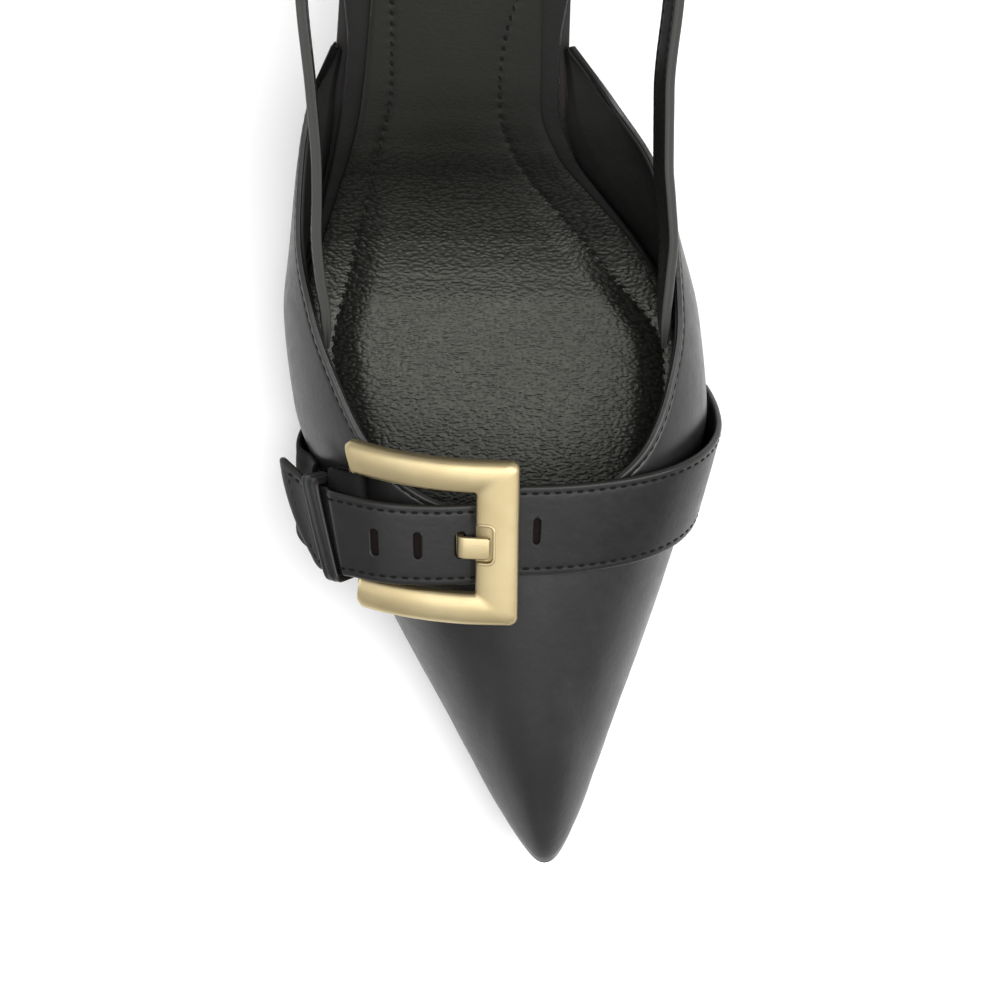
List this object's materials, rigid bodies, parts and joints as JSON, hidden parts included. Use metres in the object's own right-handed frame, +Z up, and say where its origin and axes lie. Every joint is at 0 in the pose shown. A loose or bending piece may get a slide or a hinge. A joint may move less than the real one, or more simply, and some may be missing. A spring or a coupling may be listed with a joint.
{
  "type": "slingback pump",
  "caption": "Right pointed slingback pump with a buckled belt over the vamp, a slim covered heel and an open back.",
  "frame": {"origin": "on the floor under the middle of the heel tip", "axes": "+Z up, +Y from the toe towards the heel, +X towards the inner side of the right foot"},
  "size_m": [0.084, 0.2408, 0.1091],
  "materials": {
    "black_leather": "smooth leather with a soft shine",
    "lining_leather": "fine grained lining leather",
    "sole_leather": "smooth dyed sole leather",
    "heel_cover": "smooth leather over a moulded heel",
    "tip_rubber": "matt",
    "gold_metal": "brushed pale gold"
  },
  "bodies": {
    "root": {"outsole": "sole_leather", "insole": "lining_leather", "sock": "lining_leather", "upper": "black_leather", "heel": "heel_cover", "heel_tip": "tip_rubber", "sling_strap": "black_leather", "belt": "black_leather", "belt_fold": "black_leather", "keeper": "black_leather", "buckle_frame": "gold_metal", "buckle_prong": "gold_metal"}
  },
  "joints": []
}
